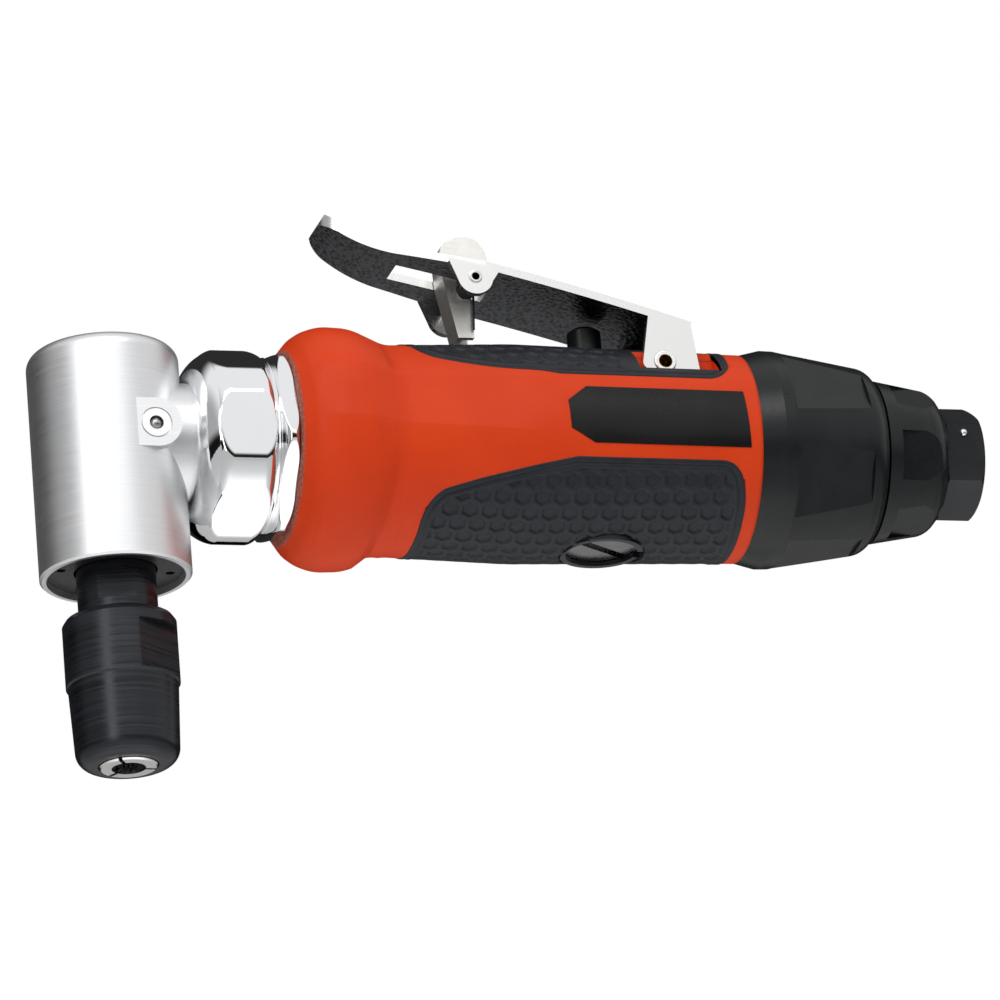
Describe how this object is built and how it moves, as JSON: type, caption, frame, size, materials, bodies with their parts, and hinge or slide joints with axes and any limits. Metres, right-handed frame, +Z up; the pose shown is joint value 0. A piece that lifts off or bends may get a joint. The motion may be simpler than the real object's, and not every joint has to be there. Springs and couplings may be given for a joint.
{
  "type": "die grinder",
  "caption": "Right-angle air die grinder: aluminium angle head with a collet chuck, moulded handle with rubber grips, throttle lever with safety latch, air inlet at the rear.",
  "frame": {"origin": "centre of the collet's mouth, on the spindle's axis", "axes": "+Z up the spindle towards the head, +X along the handle towards the air inlet, -Y the side with the grease fitting and label"},
  "size_m": [0.1705, 0.043, 0.1018],
  "materials": {
    "cast_aluminium": "fine brushed, lightly cast at the neck",
    "chrome_plate": "polished",
    "plated_steel": "bright nickel plated",
    "black_oxide_steel": "black oxide, fine turned",
    "bright_steel": "ground",
    "orange_plastic": "matte moulded",
    "grip_rubber": "matte moulded",
    "label_black": "gloss",
    "black_plastic": "satin moulded",
    "seal_rubber": "smooth",
    "brass_bushing": "turned",
    "iron_cylinder": "honed",
    "plate_aluminium": "machined",
    "vane_laminate": "phenolic laminate",
    "felt": "pressed felt"
  },
  "bodies": {
    "handle": {"head_housing": "cast_aluminium", "grease_fitting": "bright_steel", "fitting_ball": "bright_steel", "bearing_top": "bright_steel", "bearing_bottom": "bright_steel", "bearing_retainer": "black_oxide_steel", "pinion_bearing_front": "bright_steel", "pinion_bearing_rear": "bright_steel", "clamp_nut": "chrome_plate", "jam_nut": "chrome_plate", "neck_adapter": "bright_steel", "handle_housing": "orange_plastic", "lower_grip": "grip_rubber", "top_grip": "grip_rubber", "label_plate": "label_black", "front_end_plate": "plate_aluminium", "rotor_bearing_front": "bright_steel", "motor_cylinder": "iron_cylinder", "rear_end_plate": "plate_aluminium", "rotor_bearing_rear": "bright_steel", "locating_pin": "bright_steel", "plunger_bushing": "brass_bushing", "plunger_seal": "seal_rubber", "valve_seat": "brass_bushing", "valve_spring": "bright_steel", "regulator_clip": "black_oxide_steel", "lever_pin": "plated_steel", "rear_cap": "black_plastic", "muffler": "felt", "inlet_bushing": "black_oxide_steel", "inlet_screen": "plated_steel", "inlet_seal": "seal_rubber", "lock_ball": "bright_steel"},
    "rotor": {"rotor": "bright_steel", "vanes": "vane_laminate", "pinion_shaft": "bright_steel"},
    "spindle": {"spindle": "black_oxide_steel", "bevel_gear": "bright_steel"},
    "collet": {"collet": "bright_steel"},
    "collet_nut": {"collet_nut": "black_oxide_steel"},
    "lever": {"throttle_lever": "plated_steel", "latch_pin": "plated_steel"},
    "latch": {"safety_latch": "plated_steel", "latch_spring": "black_oxide_steel"},
    "plunger": {"valve_plunger": "black_plastic"},
    "regulator": {"air_regulator": "plated_steel", "regulator_seal": "seal_rubber"},
    "exhaust_ring": {"exhaust_ring": "black_plastic"}
  },
  "joints": [
    {"name": "rotor_spin", "type": "hinge", "parent": "handle", "child": "rotor", "pos_m": [0.06, 0, 0.0595], "axis": [1, 0, 0], "continuous": true},
    {"name": "spindle_spin", "type": "hinge", "parent": "handle", "child": "spindle", "pos_m": [0, 0, 0.03], "axis": [0, 0, 1], "continuous": true},
    {"name": "collet_draw", "type": "slide", "parent": "spindle", "child": "collet", "axis": [0, 0, 1], "range_m": [-0.001, 0]},
    {"name": "collet_nut_turn", "type": "hinge", "parent": "collet", "child": "collet_nut", "pos_m": [0, 0, 0.012], "axis": [0, 0, 1], "range_deg": [-360, 0]},
    {"name": "lever_squeeze", "type": "hinge", "parent": "handle", "child": "lever", "pos_m": [0.099, 0, 0.07355], "axis": [0, -1, 0], "range_deg": [0, 6.5], "stiffness_Nm_per_rad": 0.2, "springref_deg": -28.65},
    {"name": "latch_swing", "type": "hinge", "parent": "lever", "child": "latch", "pos_m": [0.06565, 0, 0.0886], "axis": [0, -1, 0], "range_deg": [0, 74]},
    {"name": "plunger_press", "type": "slide", "parent": "handle", "child": "plunger", "axis": [0, 0, -1], "range_m": [0, 0.00076], "deforming": ["valve_spring"]},
    {"name": "regulator_turn", "type": "hinge", "parent": "handle", "child": "regulator", "pos_m": [0.0877, 0, 0.045], "axis": [0, 0, -1], "range_deg": [-90, 90]},
    {"name": "exhaust_ring_turn", "type": "hinge", "parent": "handle", "child": "exhaust_ring", "pos_m": [0.144, 0, 0.0595], "axis": [1, 0, 0], "continuous": true}
  ],
  "couplings": [
    {"joint": "spindle_spin", "follows": "rotor_spin", "ratio": 0.66667},
    {"joint": "collet_nut_turn", "follows": "collet_draw", "rad_per_m": 6283.2},
    {"joint": "latch_swing", "follows": "lever_squeeze", "ratio": 11.38},
    {"joint": "plunger_press", "follows": "lever_squeeze", "m_per_rad": 0.0066}
  ]
}
